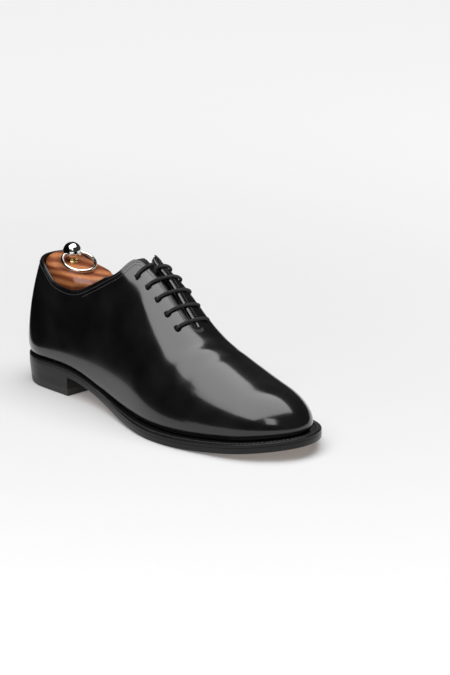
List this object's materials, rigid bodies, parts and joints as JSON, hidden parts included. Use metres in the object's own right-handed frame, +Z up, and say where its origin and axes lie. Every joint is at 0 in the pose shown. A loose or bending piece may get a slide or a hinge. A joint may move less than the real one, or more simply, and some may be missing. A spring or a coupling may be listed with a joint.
{
  "type": "leather oxford shoe",
  "caption": "Right-foot black wholecut oxford shoe with a closed laced front, a welted leather sole and a stacked heel, kept on a sprung split-toe cedar shoe tree with a knob and pull ring.",
  "frame": {"origin": "on the ground, under the middle of the outer box at rest", "axes": "+X from the heel to the toe, +Y towards the medial side of the right foot, +Z up"},
  "size_m": [0.3012, 0.1048, 0.121],
  "materials": {
    "calf": "box calf, polished to a gloss",
    "lining_leather": "dark brown calf lining, matt",
    "stiffener": "leather board, raw",
    "insole_leather": "oak bark tanned leather, raw",
    "cork": "cork and latex paste, raw",
    "sole_leather": "natural tan leather underneath, black polished edge",
    "edge_leather": "black waxed and burnished edge",
    "heel_rubber": "black rubber, matt",
    "nail_brass": "brass, plain",
    "lace_cord": "round waxed cotton, black",
    "lace_tip": "black plastic sleeve",
    "cedar": "red cedar, sanded smooth",
    "tree_brass": "polished brass",
    "tree_steel": "drawn steel",
    "ring_metal": "pale polished metal"
  },
  "bodies": {
    "shoe": {"wholecut_upper": "calf", "topline_binding": "calf", "tongue": "calf", "quarter_lining": "lining_leather", "vamp_lining": "lining_leather", "sock_liner": "lining_leather", "heel_counter": "stiffener", "toe_puff": "stiffener", "eyelet_stay_lateral": "stiffener", "eyelet_stay_medial": "stiffener", "insole": "insole_leather", "insole_rib": "insole_leather", "cork_filler": "cork", "outsole": "sole_leather", "welt": "edge_leather", "heel_rand": "edge_leather", "heel_lift_lower": "edge_leather", "heel_lift_upper": "edge_leather", "heel_top_piece": "heel_rubber", "heel_nail_1": "nail_brass", "heel_nail_2": "nail_brass", "heel_nail_3": "nail_brass", "heel_nail_4": "nail_brass", "heel_nail_5": "nail_brass", "shoelace": "lace_cord", "lace_aglet_lateral": "lace_tip", "lace_aglet_medial": "lace_tip", "tree_instep_block": "cedar", "tree_pin_lateral": "tree_brass", "tree_pin_medial": "tree_brass", "tree_tube_lateral": "tree_brass", "tree_tube_medial": "tree_brass", "shank": "tree_steel", "tree_spring_lateral": "tree_steel", "tree_spring_medial": "tree_steel", "tree_toe_spring": "tree_steel"},
    "tree_heel": {"tree_heel_block": "cedar", "tree_knob": "tree_brass", "tree_rod_lateral": "tree_steel", "tree_rod_medial": "tree_steel"},
    "pull_ring": {"tree_ring": "ring_metal"},
    "toe_half_lateral": {"tree_toe_lateral": "cedar"},
    "toe_half_medial": {"tree_toe_medial": "cedar"}
  },
  "joints": [
    {"name": "tree_heel_slide", "type": "slide", "parent": "shoe", "child": "tree_heel", "axis": [1, 0, 0], "range_m": [0, 0.01], "stiffness_N_per_m": 900, "deforming": ["tree_spring_lateral", "tree_spring_medial"]},
    {"name": "ring_swing", "type": "hinge", "parent": "tree_heel", "child": "pull_ring", "pos_m": [-0.10893, 0.00127, 0.10826], "axis": [-0.2085, -0.978, 0], "range_deg": [0, 185]},
    {"name": "toe_lateral_swing", "type": "hinge", "parent": "shoe", "child": "toe_half_lateral", "pos_m": [0.04657, -0.01273, 0.04], "axis": [0, 0, 1], "range_deg": [0, 1.2], "stiffness_Nm_per_rad": 6, "deforming": ["tree_toe_spring"]},
    {"name": "toe_medial_swing", "type": "hinge", "parent": "shoe", "child": "toe_half_medial", "pos_m": [0.04657, 0.01527, 0.04], "axis": [0, 0, -1], "range_deg": [0, 1.2], "stiffness_Nm_per_rad": 6, "deforming": ["tree_toe_spring"]}
  ]
}
